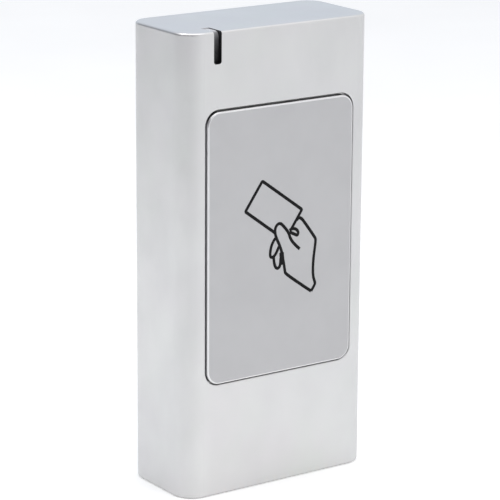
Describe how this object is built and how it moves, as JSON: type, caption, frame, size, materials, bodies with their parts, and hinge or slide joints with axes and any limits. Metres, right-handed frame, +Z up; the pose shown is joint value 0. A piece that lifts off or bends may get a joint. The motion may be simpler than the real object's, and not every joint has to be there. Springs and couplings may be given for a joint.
{
  "type": "rfid card reader",
  "caption": "Slim wall-mounted card reader: cast metal case with a radio window and status light slot, hung on a hooked wall plate and locked by a screw.",
  "frame": {"origin": "centre of the wall plate's back face, on the wall", "axes": "+Z up, -Y out of the reader's front, +Y into the wall"},
  "size_m": [0.05, 0.0232, 0.105],
  "materials": {
    "case_metal": "satin plated zinc casting, fine cast mottling",
    "window_grey": "fine-grained light grey plastic",
    "tape_foam": "thin foam adhesive tape",
    "smoked_lens": "smoked clear plastic",
    "seal_foam": "closed-cell foam",
    "led_body": "white LED package",
    "bobbin_plastic": "natural nylon",
    "coil_copper": "enamelled copper wire",
    "ferrite_grey": "flexible ferrite sheet",
    "board_green": "solder mask over glass laminate",
    "screw_steel": "zinc plated steel",
    "chip_black": "moulded chip package",
    "can_steel": "nickel plated can",
    "can_aluminium": "drawn aluminium can",
    "ceramic_tan": "ceramic body with tin ends",
    "header_nylon": "white nylon",
    "pin_gold": "gold flashed brass",
    "black_plastic": "black moulded plastic",
    "spring_steel": "spring steel wire",
    "acetal_white": "acetal pin",
    "cover_black": "textured ABS",
    "rubber_black": "moulded rubber",
    "plate_steel": "zinc plated stamped steel"
  },
  "bodies": {
    "mount": {"wall_plate": "plate_steel"},
    "reader": {"front_housing": "case_metal", "window_plate": "window_grey", "window_tape": "tape_foam", "light_pipe": "smoked_lens", "light_pipe_seal": "seal_foam", "status_led": "led_body", "antenna_bobbin": "bobbin_plastic", "antenna_coil": "coil_copper", "ferrite_sheet": "ferrite_grey", "main_board": "board_green", "board_screws": "screw_steel", "microcontroller": "chip_black", "reader_chip": "chip_black", "crystal": "can_steel", "buzzer": "black_plastic", "voltage_regulator": "chip_black", "storage_capacitor": "can_aluminium", "ceramic_capacitors": "ceramic_tan", "chip_resistors": "chip_black", "cable_header": "header_nylon", "header_pins": "pin_gold", "tamper_switch": "black_plastic", "tamper_spring": "spring_steel", "rear_cover": "cover_black", "rear_gasket": "rubber_black", "rear_cover_screws": "screw_steel", "cable_grommet": "rubber_black"},
    "screw": {"security_screw": "screw_steel", "screw_retainer": "acetal_white"},
    "nut": {"clamp_nut": "screw_steel"},
    "plunger": {"tamper_plunger": "acetal_white"}
  },
  "joints": [
    {"name": "case_swing", "type": "hinge", "parent": "mount", "child": "reader", "pos_m": [0, -0.0006, 0.0519], "axis": [-1, 0, 0], "range_deg": [0, 15]},
    {"name": "screw_turn", "type": "hinge", "parent": "reader", "child": "screw", "pos_m": [0, -0.0065, -0.0515], "axis": [0, 0, -1], "range_deg": [0, 720]},
    {"name": "nut_travel", "type": "slide", "parent": "reader", "child": "nut", "axis": [0, 0, 1], "range_m": [0, 0.00101]},
    {"name": "tamper_press", "type": "slide", "parent": "reader", "child": "plunger", "axis": [0, 1, 0], "range_m": [0, 0.0015], "stiffness_N_per_m": 200, "springref_m": 0.0025, "deforming": ["tamper_spring"]}
  ]
}
